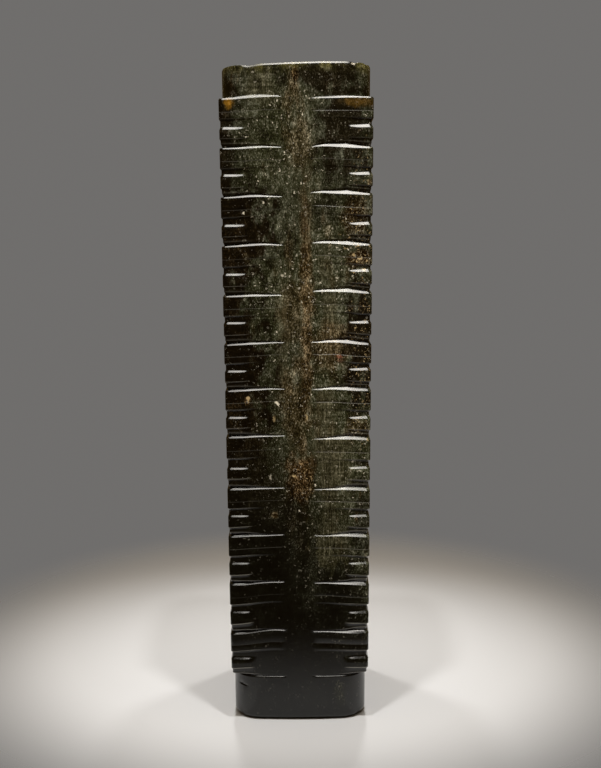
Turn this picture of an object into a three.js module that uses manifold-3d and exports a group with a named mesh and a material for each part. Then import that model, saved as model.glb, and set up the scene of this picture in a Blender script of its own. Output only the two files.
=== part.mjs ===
// A tall jade cong: one square column of nephrite with a round bore from end to end.
// Between a low collar at the mouth and a taller foot, twelve tiers are carved at the four corners.
// Each tier is a simplified mask: two bands, a sunk eye field and a short nose bar on the corner.
// Millimetres, +Z up, the origin at the centre of the underside. The front face looks along -Y.
import * as THREE from 'three';
import { mergeVertices } from 'three/addons/utils/BufferGeometryUtils.js';
import Module from 'manifold-3d';

// Heights. The tiers are listed from the mouth down, and are uneven, as hand sawing leaves them.
const COLLAR_HEIGHT = 17.6;
const TIER_HEIGHTS = [24.3, 23.9, 24.2, 25.1, 24.4, 23.2, 24.6, 27.2, 25.1, 25.7, 26.0, 24.7];
const FOOT_HEIGHT = 24.0;
// How much lower each tier is cut on the front left corner than on the front right one.
const LEFT_DROPS = [0.8, 0, 0.9, 0.1, 1.2, -0.1, -0.1, -1.0, -0.4, 0, -0.2, -0.2];

// Widths, from the axis to a face, at the top and the bottom of the carved stretch.
const TOP_HALF_WIDTH = 38.8;
const LOW_HALF_WIDTH = 36.6;

// The plain section, which the collar, the foot and the middle strips of the faces share.
const CORE_INSET = 0.25;
const CORE_SIDE_RADIUS = 280;
const CORE_CORNER_RADIUS = 14;
// The carved section, which the bands and nose bars reach: almost flat faces and sharper corners.
const PANEL_SIDE_RADIUS = 3000;
const PANEL_CORNER_RADIUS = 3;

// Places across half a face, from its middle line.
const STRIP_HALF_WIDTH = 8.3;
const BAR_LENGTH = 12.2;
const BAR_END_SLOPE = 2.2;

// Levels of the carving: 0 is the plain section and 1 the carved section. At the corners, where the two
// lie far apart, the carving goes no deeper than it would for a relief of this height.
const GROOVE_LEVEL = 0.35;
const FIELD_LEVEL = 0.68;
const STEP_LEVEL = 0.88;
const BAR_LEVEL = 0.96;
const RELIEF_MOST = 2.6;

// One tier from its top down: share of the tier's height, level of the panel, level on the nose bar.
// The lower band is set back by a fine step along its upper edge.
const TIER_PROFILE = [
  [0.01, 1, 1],
  [0.24, 1, 1],
  [0.252, STEP_LEVEL, STEP_LEVEL],
  [0.39, 1, 1],
  [0.45, FIELD_LEVEL, FIELD_LEVEL],
  [0.575, FIELD_LEVEL, FIELD_LEVEL],
  [0.61, FIELD_LEVEL, BAR_LEVEL],
  [0.785, FIELD_LEVEL, BAR_LEVEL],
  [0.875, FIELD_LEVEL, FIELD_LEVEL],
  [0.955, GROOVE_LEVEL, GROOVE_LEVEL],
];

// The mouth's rim is worn lower at the front left corner. The wear starts to the right of the axis and
// behind it, and is full at these distances to the left and to the front. Both ends have a small bevel.
const RIM_WEAR = 1.2;
const RIM_WEAR_LEFT = { start: -20, full: 34 };
const RIM_WEAR_FRONT = { start: -20, full: 20 };
const RIM_BEVEL = 1.0;
const FOOT_BEVEL = 1.6;

// The bore was drilled from both ends and meets with a small ledge near the middle.
const BORE_TOP_RADIUS = 23;
const BORE_LOW_RADIUS = 22.6;
const BORE_MEET_TOP_RADIUS = 20.9;
const BORE_MEET_LOW_RADIUS = 20.2;
const BORE_MEET_LOW = 163;
const BORE_MEET_TOP = 168;
const BORE_OVERRUN = 5;
const BORE_SIDES = 48;

const CORNERS = 4;
const QUARTER = Math.PI / 2;
const MERGE_TOLERANCE = 1e-4;

const tiersHeight = TIER_HEIGHTS.reduce((sum, height) => sum + height, 0);
const carvedTop = FOOT_HEIGHT + tiersHeight;
const totalHeight = carvedTop + COLLAR_HEIGHT;

// Half the width over the carved faces at a height: a straight taper towards the foot.
function halfWidth(z) {
  const share = (z - FOOT_HEIGHT) / tiersHeight;
  return LOW_HALF_WIDTH + (TOP_HALF_WIDTH - LOW_HALF_WIDTH) * share;
}

// Distance from the axis to a round-cornered square with bowed sides, along the direction that is
// angle from a face's normal. The side is an arc about a point on the normal, and the corner is a
// smaller arc about a point on the diagonal that meets the side arc smoothly.
function sectionRadius(angle, half, sideRadius, cornerRadius) {
  const folded = Math.abs(angle - QUARTER * Math.round(angle / QUARTER));
  const sideCentre = half - sideRadius;
  const reach = sideRadius - cornerRadius;
  const cornerCentre = (sideCentre + Math.sqrt(2 * reach ** 2 - sideCentre ** 2)) / 2;
  const sideEndOut = sideCentre + ((cornerCentre - sideCentre) * sideRadius) / reach;
  const sideEndAcross = (cornerCentre * sideRadius) / reach;
  const cosine = Math.cos(folded);
  const sine = Math.sin(folded);
  if (folded <= Math.atan2(sideEndAcross, sideEndOut)) {
    return sideCentre * cosine + Math.sqrt(sideRadius ** 2 - (sideCentre * sine) ** 2);
  }
  const alongDiagonal = cornerCentre * (cosine + sine);
  return alongDiagonal + Math.sqrt(cornerRadius ** 2 - (cornerCentre * (cosine - sine)) ** 2);
}

const coreRadius = (angle, half) =>
  sectionRadius(angle, half - CORE_INSET, CORE_SIDE_RADIUS, CORE_CORNER_RADIUS);
const panelRadius = (angle, half) => sectionRadius(angle, half, PANEL_SIDE_RADIUS, PANEL_CORNER_RADIUS);

// The upright lines of the surface. Each corner has the same set, mirrored about its diagonal, and
// every line knows its corner and whether it runs on the strip, the panel or the nose bar.
function uprightLines() {
  const across = (place) => Math.atan2(place, TOP_HALF_WIDTH);
  const half = [
    { angle: across(STRIP_HALF_WIDTH), kind: 'strip' },
    { angle: across(TOP_HALF_WIDTH - BAR_LENGTH - BAR_END_SLOPE / 2), kind: 'panel' },
    { angle: across(TOP_HALF_WIDTH - BAR_LENGTH + BAR_END_SLOPE / 2), kind: 'bar' },
    { angle: across(TOP_HALF_WIDTH - PANEL_CORNER_RADIUS), kind: 'bar' },
  ];
  const mirrored = half.map(({ angle, kind }) => ({ angle: QUARTER - angle, kind })).reverse();
  const corner = [...half, { angle: QUARTER / 2, kind: 'bar' }, ...mirrored];
  return Array.from({ length: CORNERS }, (_, index) =>
    corner.map(({ angle, kind }) => ({ angle: angle + index * QUARTER, kind, corner: index })),
  ).flat();
}

// How far down a corner's cut lies from the tier's even place. Corners run anticlockwise from the
// back right one: back right, back left, front left, front right.
function handDrop(tier, corner) {
  const front = LEFT_DROPS[tier] / 2;
  const back = LEFT_DROPS[LEFT_DROPS.length - 1 - tier] / 2;
  return [back, -back, front, -front][corner];
}

// How far the worn rim lies below the full height: nothing on the right and at the back.
function rimWear(x, y) {
  const left = THREE.MathUtils.smoothstep(-x, RIM_WEAR_LEFT.start, RIM_WEAR_LEFT.full);
  const front = THREE.MathUtils.smoothstep(-y, RIM_WEAR_FRONT.start, RIM_WEAR_FRONT.full);
  return RIM_WEAR * left * front;
}

// The surface's rows from the foot up. A row gives, for an upright line, a height and a distance
// from the axis.
function surfaceRows() {
  const plain = (z, inset = 0) => (line) => ({ z, radius: coreRadius(line.angle, halfWidth(z)) - inset });
  const rows = [plain(0, FOOT_BEVEL), plain(FOOT_BEVEL), plain(FOOT_HEIGHT)];
  let tierTop = FOOT_HEIGHT;
  for (let tier = TIER_HEIGHTS.length - 1; tier >= 0; tier -= 1) {
    const height = TIER_HEIGHTS[tier];
    tierTop += height;
    const top = tierTop;
    for (const [share, panelLevel, barLevel] of [...TIER_PROFILE].reverse()) {
      rows.push((line) => {
        const z = top - share * height - handDrop(tier, line.corner);
        const core = coreRadius(line.angle, halfWidth(z));
        if (line.kind === 'strip') return { z, radius: core };
        const level = line.kind === 'bar' ? barLevel : panelLevel;
        const panel = panelRadius(line.angle, halfWidth(z));
        return { z, radius: panel - (1 - level) * Math.min(panel - core, RELIEF_MOST) };
      });
    }
  }
  rows.push((line) => plain(carvedTop - handDrop(0, line.corner))(line));
  rows.push(rimRow(RIM_BEVEL, 0), rimRow(0, RIM_BEVEL));
  return rows;
}

// A row of the rim: below the worn edge by drop, and inside the collar's face by inset.
function rimRow(drop, inset) {
  return (line) => {
    const radius = coreRadius(line.angle, halfWidth(totalHeight)) - inset;
    const wear = rimWear(radius * Math.cos(line.angle), radius * Math.sin(line.angle));
    return { z: totalHeight - wear - drop, radius };
  };
}

// The carved column without its bore: the rows joined by quads, closed by a fan at each end.
function columnGeometry() {
  const lines = uprightLines();
  const rows = surfaceRows();
  const position = [];
  for (const row of rows) {
    for (const line of lines) {
      const { z, radius } = row(line);
      position.push(radius * Math.cos(line.angle), radius * Math.sin(line.angle), z);
    }
  }
  const lowCentre = position.length / 3;
  position.push(0, 0, 0);
  const topCentre = lowCentre + 1;
  position.push(0, 0, totalHeight);

  const count = lines.length;
  const lastRow = (rows.length - 1) * count;
  const index = [];
  for (let j = 0; j < count; j += 1) {
    const next = (j + 1) % count;
    for (let start = 0; start < lastRow; start += count) {
      const [a, b, c, d] = [start + j, start + next, start + count + next, start + count + j];
      index.push(a, b, c, a, c, d);
    }
    index.push(lowCentre, next, j);
    index.push(topCentre, lastRow + j, lastRow + next);
  }
  return new THREE.BufferGeometry()
    .setAttribute('position', new THREE.Float32BufferAttribute(position, 3))
    .setIndex(index);
}

// The drill's two tapering paths as one turned solid about the Z axis.
function boreGeometry() {
  const profile = [
    [0, -BORE_OVERRUN],
    [BORE_LOW_RADIUS, -BORE_OVERRUN],
    [BORE_MEET_LOW_RADIUS, BORE_MEET_LOW],
    [BORE_MEET_TOP_RADIUS, BORE_MEET_TOP],
    [BORE_TOP_RADIUS, totalHeight + BORE_OVERRUN],
    [0, totalHeight + BORE_OVERRUN],
  ];
  const points = profile.map(([radius, z]) => new THREE.Vector2(radius, z));
  return new THREE.LatheGeometry(points, BORE_SIDES).rotateX(QUARTER);
}

const wasm = await Module();
wasm.setup();

// A closed geometry as a solid that can be cut.
function solidFrom(geometry) {
  const bare = geometry.clone();
  bare.deleteAttribute('normal');
  bare.deleteAttribute('uv');
  const merged = mergeVertices(bare, MERGE_TOLERANCE);
  return new wasm.Manifold(
    new wasm.Mesh({
      numProp: 3,
      vertProperties: new Float32Array(merged.attributes.position.array),
      triVerts: new Uint32Array(merged.index.array),
    }),
  );
}

function geometryFrom(solid) {
  const mesh = solid.getMesh();
  const geometry = new THREE.BufferGeometry()
    .setAttribute('position', new THREE.Float32BufferAttribute(mesh.vertProperties, 3))
    .setIndex(new THREE.Uint32BufferAttribute(mesh.triVerts, 1));
  geometry.computeVertexNormals();
  return geometry;
}

const nephrite = new THREE.MeshStandardMaterial({
  name: 'dark green nephrite',
  color: 0x33362b,
  roughness: 0.3,
  metalness: 0,
});

const cong = new THREE.Mesh(
  geometryFrom(solidFrom(columnGeometry()).subtract(solidFrom(boreGeometry()))),
  nephrite,
);
cong.name = 'cong';

const part = new THREE.Group();
part.add(cong);

export default part;
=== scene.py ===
"""A tall jade cong, dressed for its portrait: one carved and drilled block of dark green nephrite.

The stone is one closed surface, worked out on a grid of upright columns and level rows. The frame is
in metres with +Z up, the origin at the centre of the underside, and the front face along -Y.
"""

import math

import bpy
import numpy as np
from mathutils import Matrix, Vector


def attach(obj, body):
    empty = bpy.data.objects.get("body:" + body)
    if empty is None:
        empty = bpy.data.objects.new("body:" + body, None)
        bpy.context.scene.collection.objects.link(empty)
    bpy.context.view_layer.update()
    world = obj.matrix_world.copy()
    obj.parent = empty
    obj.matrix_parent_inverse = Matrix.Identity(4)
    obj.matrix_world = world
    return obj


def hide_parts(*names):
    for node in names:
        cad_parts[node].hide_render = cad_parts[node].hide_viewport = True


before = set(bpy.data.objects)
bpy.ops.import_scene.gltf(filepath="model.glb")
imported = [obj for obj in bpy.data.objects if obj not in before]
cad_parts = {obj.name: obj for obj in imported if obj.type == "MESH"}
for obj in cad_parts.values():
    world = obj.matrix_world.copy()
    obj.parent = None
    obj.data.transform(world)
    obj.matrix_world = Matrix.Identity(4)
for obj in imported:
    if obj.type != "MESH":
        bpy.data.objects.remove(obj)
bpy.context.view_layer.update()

MM = 0.001
QUARTER = math.pi / 2
# Values for the four corners are listed as back right, back left, front left and front right.
CORNERS = 4

# Heights. The tiers are listed from the mouth down, and are uneven, as hand sawing leaves them.
COLLAR_HEIGHT = 17.6 * MM
TIER_HEIGHTS = np.array([24.3, 23.9, 24.2, 25.1, 24.4, 23.2, 24.6, 27.2, 25.1, 25.7, 26.0, 24.7]) * MM
FOOT_HEIGHT = 24.0 * MM
TIERS = len(TIER_HEIGHTS)
CARVED_TOP = FOOT_HEIGHT + TIER_HEIGHTS.sum()
TOTAL_HEIGHT = CARVED_TOP + COLLAR_HEIGHT
# How much lower each tier is cut on the front left corner than on the front right one.
LEFT_DROPS = np.array([0.8, 0, 0.9, 0.1, 1.2, -0.1, -0.1, -1.0, -0.4, 0, -0.2, -0.2]) * MM
# How far each tier's edge rises towards the middle strip on the left and on the right of the front.
LEFT_LIFTS = np.array([0.9, 0.3, 0.6, 0.6, 0.8, 0.7, 0.1, 0.1, 0.15, 0.7, 0.9, 0.9]) * MM
RIGHT_LIFTS = np.array([-0.7, 0.6, 1.4, 1.3, 1.6, 1.1, 0, -0.6, -0.3, 0.2, 0.4, 0]) * MM
# How far it droops towards the front left and the front right corner.
LEFT_DROOPS = np.array([0.35, 0.3, -0.15, 0.5, -0.35, 0.7, 0.95, 1.0, 0.55, 0.6, 0.65, 1.6]) * MM
RIGHT_DROOPS = np.array([0.5, 0.3, -0.35, 0.25, -0.6, 0.5, 0.8, 1.4, 0.9, 0.9, 0.9, 1.1]) * MM
# How much higher than marked out the nose bars are cut at the front left and the front right corner.
LEFT_BAR_LIFTS = np.array([0.2, 1.4, 0.7, 1.2, 1.3, 0.1, -0.1, -0.6, 0.5, 0.6, 0, 0]) * MM
RIGHT_BAR_LIFTS = np.array([0.6, 1.4, 0.9, 2.0, 0.8, 0.8, 0.1, 0, 0.3, 0.3, -0.4, 0]) * MM
# How far the sawn lines stray from level, in waves of so many to a turn and such a share each, and how
# unevenly the panels reach the middle strips.
SAW_STRAY = 0.12 * MM
SAW_WAVES = ((9, 1.0), (16, 0.6))
STRIP_STRAY = 0.9 * MM
# Seeds of the random draws for the ledges, the strips and the scribed lines, to which the tier's number
# is added.
LEDGE_SEED = 100
STRIP_SEED = 200
SCRIBE_SEED = 300

# Widths, from the axis to a face, at the top and the bottom of the carved stretch, as sawn. Polishing
# took a little off them.
TOP_HALF_WIDTH = 38.8 * MM
LOW_HALF_WIDTH = 36.6 * MM
POLISH_LOSS = 0.1 * MM
# The plain section, which the collar, the foot and the middle strips of the faces share.
CORE_INSET = 0.25 * MM
CORE_SIDE_RADIUS = 280 * MM
CORE_CORNER_RADIUS = 14 * MM
# The carved section, which the bands reach and the nose bars nearly reach.
PANEL_SIDE_RADIUS = 3000 * MM
PANEL_CORNER_RADIUS = 1.8 * MM

# Places across half a face, from its middle line.
STRIP_HALF_WIDTH = 8.3 * MM
STRIP_SLOPE = 2.6 * MM
BAR_LENGTH = 12.2 * MM
BAR_END_SLOPE = 2.6 * MM

# Levels of the carving: 0 is the plain section and 1 the carved section. At the corners, where the two
# lie far apart, the carving goes no deeper than it would for a relief of this height.
GROOVE_LEVEL = 0.35
FIELD_LEVEL = 0.68
BAR_LEVEL = 0.96
RELIEF_MOST = 2.6 * MM

# Places in a tier, as shares of its height from the top. A line is scribed across the bands: it is pressed
# by a random strength times a boldness for each corner, and its painted highlight fades out towards the
# foot.
SCRIBE_SHARE = 0.249
SCRIBE_HALF = 0.011
SCRIBE_DEPTH = 0.14 * MM
SCRIBE_STRENGTH = (0.3, 1.0)
SCRIBE_SHEEN = 0.6
SCRIBE_BOLDNESS = (0.8, 0.8, 0.5, 1.2)
SCRIBE_FADE = 110 * MM
BAND_END = 0.384
FIELD_START = 0.424
BAR_TOP = 0.573
BAR_END = 0.785
# The share of the stretch from a nose bar down to the saw cut that its underside takes.
UNDER_BAR = 0.4
BAR_RISE_LEAST = 0.4 * MM
BAR_LEAD = 0.9 * MM
# How far the nose bar climbs towards each corner, and how much deeper the field over it gets there.
BAR_CLIMB = np.array([0.4, 0.1, 0.1, 0.55]) * MM
FIELD_SINK = (0.1, 0.03, 0.02, 0.13)

# The saw cut over each ledge: its least depth, and the height of its upper flank at the strip and at the
# corner. The ledge below it is a sloping plane, lens-shaped along the face, with a level shelf behind it.
CUT_DEPTH = 0.28 * MM
CUT_RISE_STRIP = 0.5 * MM
CUT_RISE_CORNER = 2.0 * MM
SHELF_RISE = 0.12 * MM
LEDGE_SLOPE_TOP = 0.55
LEDGE_SLOPE_LOW = 0.86
LEDGE_LEAST = 0.25 * MM
LEDGE_MOST = 1.85 * MM
LEDGE_SWELL = (4 * MM, 25 * MM)
LEDGE_TAPER = (25 * MM, 38.8 * MM)
LEDGE_CORNER_SHARE = 0.4
# The most that a ledge droops towards a corner away from the front, and the shares of it that are drawn.
LEDGE_DROOP = 0.9 * MM
DROOP_RANGE = (0.3, 1)
DROOP_START = 12 * MM
# Towards the foot the ledges get lower, swell nearer to the corner and hardly taper there.
LEDGE_LOW_SHARE = (0.4, 0.4, 0.4, 0.62)
LEDGE_LOW_LEAST = 0.45
LEDGE_LOW_SHIFT = 11 * MM
LEDGE_FADE = (30 * MM, 260 * MM)
# How bold the ledge under the collar and the other ledges are at the corners.
COLLAR_BOLDNESS = (0.6, 0.5, 0.85, 0.5)
LEDGE_BOLDNESS = (1.0, 0.8, 0.5, 1.1)
# The depth of the saw cut over the foot, which has only the least ledge.
FOOT_CUT_DEPTH = 0.3 * MM
# How pale the painted reflections along the edges of the carving are at the mouth and at the foot, half the
# width of such a line, and the stretch over which it grows towards the corner.
EDGE_SHEEN_TOP = 0.15
EDGE_SHEEN_LOW = 1.0
EDGE_SHEEN_HALF = 0.19 * MM
EDGE_SHEEN_GROWTH = (19 * MM, 31 * MM)
# The depth of a recess in the carving at which its painted shade is darkest.
RECESS_SHADE_FULL = 1.8 * MM

# The rim is rubbed down lower at the front left, and the pale front edge is chipped: place along the front
# edge, half width and depth of each chip.
RIM_WEAR = 1.2 * MM
RIM_WEAR_LEFT = (-20 * MM, 34 * MM)
RIM_WEAR_FRONT = (-20 * MM, 20 * MM)
RIM_CHIPS = np.array([[-23.5, 6.5, 0.75], [29.4, 2.2, 0.7], [35.2, 1.8, 0.4]]) * MM
RIM_BEVEL = 0.95 * MM
FOOT_BEVEL = 1.7 * MM
FOOT_BEVEL_RISE = 2.3 * MM
# A short nick in the foot's front: its place along the face, height, half length, half height and depth. It
# leans by a share of its half height over its half length.
NICK = np.array([-30.3, 18.6, 2.6, 0.8, 0.5]) * MM
NICK_LEAN = 0.5

# The bore was drilled from both ends and meets with a small ledge near the middle.
BORE_TOP_RADIUS = 23 * MM
BORE_LOW_RADIUS = 22.6 * MM
BORE_MEET_TOP_RADIUS = 20.9 * MM
BORE_MEET_LOW_RADIUS = 20.2 * MM
BORE_MEET_LOW = 163 * MM
BORE_MEET_TOP = 168 * MM
BORE_BEVEL = 0.7 * MM
# The top face dips a little towards the bore's mouth.
MOUTH_DIP = 0.4 * MM

# The grid's columns over half a face: start and end of each stretch in millimetres from the middle line,
# and the number of columns in it.
COLUMN_STRETCHES = ((0, 6.5, 2), (6.5, 11, 4), (11, 24, 5), (24, 29, 4), (29, 36.6, 4), (36.6, 38.8, 5))
# The grid's rows. On the bands, the field and the face of the nose bar they are shares of the tier's height
# from its top, and on the planes between them shares of the plane's own height.
BAND_ROWS = (0.010, 0.035, 0.12, 0.237, 0.243, 0.249, 0.255, 0.261, 0.376, 0.386, 0.394, 0.404)
FIELD_ROWS = (0.418, 0.430, 0.440)
BAR_ROWS = (0.69, 0.773)
OVER_BAR_ROWS = (0.0, 0.12, 0.5, 0.88, 1.0)
UNDER_BAR_ROWS = (0.0, 0.12, 0.3, 0.65, 0.94)
FLANK_ROWS = (1.0, 0.9, 0.5, 0.1, 0.0)
LEDGE_ROWS = (1.0, 0.85, 0.5, 0.15, 0.0)
# On the foot: shares of its bevel upward and outward, then of its height below and over the nick, and of
# the nick's half height.
FOOT_BEVEL_UP = (0.04, 0.2, 0.6, 0.88, 1.0)
FOOT_BEVEL_OUT = (0.12, 0.3, 0.72, 0.95, 1.0)
FOOT_LOW_ROWS = (0.14, 0.32, 0.5)
FOOT_TOP_ROWS = (0.9, 0.97)
NICK_ROWS = np.linspace(-1.2, 1.2, 7)
# On the collar: shares of its ledge, of its wall, and of the rim's bevel upward and inward.
COLLAR_LEDGE_ROWS = (0.0, 0.15, 0.5, 0.85, 1.0)
COLLAR_WALL_ROWS = (0.0, 0.012, 0.05, 0.3, 0.6, 0.85, 1.0)
RIM_BEVEL_UP = (0.06, 0.45, 0.85, 0.9, 1.0)
RIM_BEVEL_IN = (0.03, 0.225, 0.425, 0.45, 1.0)
# Across the top face and the underside, and the bore's rows, which keep clear of its ends and of its ledge.
TOP_FACE_ROWS = (0.3, 0.7, 1.0)
UNDERSIDE_ROWS = (0.35, 0.7, 0.99)
BORE_END_GAP = 6 * MM
BORE_LEDGE_GAP = 4 * MM
BORE_PATH_ROWS = 5
BORE_LEDGE_ROWS = 4
BORE_BEVEL_ROWS = 4

# Marks in the stone that show on the front, each with its centre and reach in millimetres and its strength.
RUST_ZONES = [
    ((1, -38, 131), (9, 14, 15), 1.0),
    ((4.5, -38, 215), (4, 14, 66), 0.65),
    ((-2, -38, 217), (9, 14, 17), 0.35),
    ((-1, -38, 168), (11, 14, 19), 0.4),
    ((1, -38, 300), (8, 14, 16), 0.35),
    ((-0.7, -38, 334), (2.2, 10, 6), 1.0),
    ((20, -38, 195), (3, 6, 2), 0.8),
    ((18, -38, 200), (12, 14, 16), 0.5),
    ((-30, -38, 252), (13, 14, 15), 0.45),
    ((-30, -38, 168), (11, 14, 15), 0.4),
]
# A small red spot, with a fainter one under it.
RED_MARKS = [
    ((21.3, -38, 194.2), (1.9, 6, 1.5), 0.8),
    ((21.7, -38, 192.2), (2.2, 6, 1.5), 0.4),
]
AMBER_ZONES = [
    ((30, -38, 264), (8, 12, 11), 0.6),
    ((31, -38, 244), (7, 12, 5), 0.75),
    ((30, -38, 158), (7, 12, 7), 0.35),
    ((-25.7, -38, 172), (2.2, 6, 2.6), 1.0),
    ((-12.6, -38, 112), (3, 5, 3), 0.6),
]
# Narrow edges with a painted glow of light shining through them, and corners that are strewn with golden
# sparks.
GLOW_ZONES = [
    ((30, -38, 320.6), (11, 12, 4.4), 0.6),
    ((-33.2, -38, 321.0), (3.3, 9, 4.2), 0.95),
]
SPARK_ZONES = [
    ((33, -38, 195), (7, 12, 50), 0.8),
    ((33, -38, 285), (6, 12, 22), 0.45),
    ((30, -38, 255), (9, 12, 19), 0.8),
    ((4, -38, 128), (6, 12, 9), 0.55),
    ((30, -38, 160), (6, 12, 8), 1.0),
]
GOLD_MARKS = [
    ((-25.5, -38, 173), (1.1, 3, 1.4), 0.8),
    ((-2.4, -38, 132.2), (0.8, 3, 0.8), 0.9),
    ((4.2, -38, 163), (0.8, 3, 1.9), 0.5),
    ((-12.4, -38, 162.3), (0.9, 3, 1.6), 0.35),
    ((33.5, -38, 238), (1.0, 3, 0.8), 0.8),
    ((31.5, -38, 243.5), (1.0, 3, 0.7), 0.9),
    ((28.5, -38, 245.5), (0.8, 3, 0.7), 0.8),
    ((35, -38, 242.5), (0.7, 3, 0.7), 0.8),
]
HAZE_ZONES = [
    ((16, -38, 140), (11, 14, 30), 1.0),
    ((16, -38, 97), (11, 14, 19), 0.8),
    ((21, -37, 15), (3.5, 8, 8), 0.3),
    ((16.5, -38, 214), (4, 14, 24), 0.85),
    ((14, -38, 165), (7, 14, 15), 0.85),
    ((-7.5, -38, 205), (3.5, 14, 32), 0.6),
    ((14, -38, 240), (4, 8, 8), 0.5),
    ((-18, -38, 328), (9, 12, 9), 0.7),
    ((5, -38, 263), (4, 14, 20), 0.8),
]
DARK_ZONES = [
    ((24, -38, 312), (17, 14, 46), 0.86),
    ((14, -38, 332), (28, 14, 9), 0.84),
    ((-33, -38, 256), (30, 14, 26), 1.0),
    ((-33, -38, 186), (23, 14, 46), 1.0),
    ((14, -38, 267), (9, 14, 10), 0.6),
    ((-36, -36, 329), (6, 12, 8), 0.9),
    ((0, -38, 195), (11, 14, 26), 0.3),
    ((-4, -38, 262), (9, 14, 20), 0.3),
    ((34, -38, 200), (14, 14, 40), 0.95),
    ((33, -38, 258), (9, 14, 22), 0.6),
    ((24, -38, 60), (20, 14, 40), 0.5),
    ((34, -38, 106), (9, 14, 26), 0.75),
]
# Single pale grains.
PALE_MARKS = [
    ((-10.9, -38, 170.6), (0.9, 3, 0.8), 1.0),
    ((-10.2, -38, 169.8), (0.8, 3, 0.7), 0.9),
    ((8.6, -38, 127.5), (0.6, 3, 0.7), 1.0),
    ((0.5, -38, 114), (0.7, 3, 0.5), 0.9),
    ((-14.4, -38, 132), (0.7, 3, 1.7), 0.4),
    ((-26.8, -38, 266.5), (0.7, 3, 0.5), 0.9),
    ((-16.7, -38, 271.5), (0.6, 3, 0.5), 0.9),
    ((3.2, -38, 314.5), (0.6, 3, 0.6), 1.0),
    ((-9.5, -38, 321), (0.6, 3, 0.6), 0.8),
    ((28.6, -38, 339), (1.4, 3, 0.8), 0.9),
]
# The marks that show through where the stone is dark, the painted glow among them.
BRIGHT_ZONES = [*GLOW_ZONES, AMBER_ZONES[3], AMBER_ZONES[4], HAZE_ZONES[1], HAZE_ZONES[2]]

# Noises of the figure: the factors of the axes, a turn about the Y axis that only moves the pattern, the
# number of waves in a millimetre, the detail and the roughness.
NOISES = {
    "cloud": ((1, 1, 0.5), 0.0, 0.045, 4, 0.55),
    "mottle": ((1, 1, 0.6), 0.0, 0.16, 3, 0.6),
    "cluster": ((1, 1, 0.6), 0.0, 0.4, 3, 0.6),
    "upright": ((1, 1, 0.5), 0.0, 2.1, 2, 0.6),
    "longer": ((1, 1, 0.3), 0.3, 1.5, 2, 0.6),
    "hair": ((1, 1, 0.09), 0.0, 1.5, 2, 0.6),
    "level": ((0.05, 0.05, 1), 0.0, 0.8, 3, 0.6),
    "vein": ((1, 1, 0.32), 0.0, 0.11, 5, 0.62),
}
# The shares of its reach between which a zone fades out, and how much the mottle makes that edge drift.
ZONE_EDGE = (1.25, 0.4)
DRIFT = 2.2
# The noise that makes the grains uneven: its waves in a millimetre, and its reach in millimetres.
WARP_SCALE = 0.9
WARP_REACH = 2.4
# Grains: cells in a millimetre, the largest radius in millimetres and the share of cells that hold one.
# All have a soft edge, in millimetres, and the least radius is a share of the range of radii.
SPARK_GRAINS = (0.9, 0.4, 0.5)
FLECK_GRAINS = (0.8, 0.4, 0.4)
LARGE_GRAINS = (0.16, 0.52, 0.6)
SMALL_GRAINS = (0.85, 0.4, 0.25)
GRAIN_EDGE = 0.12
GRAIN_LEAST = 0.6
# Heights in millimetres between which the stone brightens, a painted shade deepening towards the foot as
# the light from above falls off, and how far a millimetre to the right and the clouds move them.
SHADE_HEIGHTS = (55, 200)
TONE_LEAN = 1.5
TONE_CLOUDS = 110
# The front left corner, the distances from it between which its darkness ends, and how far the mottle
# moves them.
DARK_CORNER = (-39, -39, 0)
CORNER_REACH = (7, 38)
CORNER_DRIFT = 24
# Other heights over which something changes: the end of the painted glow under the collar, the rim's
# painted glow, the colour of the dark stone, and the faintest grains, faded by painted shade towards the
# foot.
GLOW_END = (323.0, 321.5)
RIM_HEIGHTS = (333, 339)
DEEP_HEIGHTS = (90, 170)
GRAIN_HEIGHTS = (50, 170)
# Distances from the middle of a face over which rust, gold and saw scores set in.
RUST_PLACES = (11, 3)
GOLD_PLACES = (22, 32)
SCORE_PLACES = (8, 12)

# Colours of the stone, with two for those that run from dark to light.
GREEN = ((0.029, 0.032, 0.0125, 1), (0.041, 0.043, 0.0205, 1))
GREEN_LIGHT = (0.056, 0.058, 0.043, 1)
HAZE = ((0.06, 0.054, 0.025, 1), (0.108, 0.098, 0.062, 1))
RUST = ((0.068, 0.031, 0.006, 1), (0.12, 0.077, 0.036, 1))
RED = (0.105, 0.034, 0.02, 1)
AMBER = ((0.052, 0.018, 0.001, 1), (0.135, 0.103, 0.057, 1))
# A painted glow of light shining through the narrow edges, here and on the rim in the next line.
GLOW = (0.42, 0.2, 0.015, 1)
RIM_GLOW_COLOR = (0.1, 0.085, 0.02, 1)
DEEP = ((0.016, 0.017, 0.011, 1), (0.032, 0.02, 0.008, 1))
# The colour of the painted shade in the recesses of the carving.
RECESS_SHADE_COLOR = (0.005, 0.004, 0.003, 1)
# The pale colour of the painted reflections along the carving's edges.
EDGE_SHEEN_COLOR = (0.3, 0.29, 0.26, 1)
GOLDEN_GRAIN = (0.78, 0.58, 0.3, 1)
TAN_FLECK = (0.36, 0.335, 0.24, 1)
PALE_GRAIN = (0.95, 0.88, 0.72, 1)

# The two finishes: how strong the flecks are, the range of the roughness, the strength of the fine
# unevenness and that of the drill's rings.
POLISHED = (1.0, (0.1, 0.24), 0.07, 0.0)
DRILLED = (0.5, (0.34, 0.55), 0.35, 1.0)
BUMP_HEIGHT = 0.3 * MM
RING_WAVES = {"Scale": 150, "Distortion": 1.5, "Detail": 3, "Detail Scale": 2}
NEPHRITE_IOR = 1.5

# The camera: the picture's frame and lens in its own pixels, and the place it looks from.
PICTURE_HEIGHT = 768
FOCAL_LENGTH = 950
SENSOR = 36
CAMERA_PLACE = Vector((1.3, -519.5, 234.1)) * MM
CAMERA_PITCH = math.radians(6.37)
CAMERA_ROLL = math.radians(-0.36)
CAMERA_NEAR = 10 * MM

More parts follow.
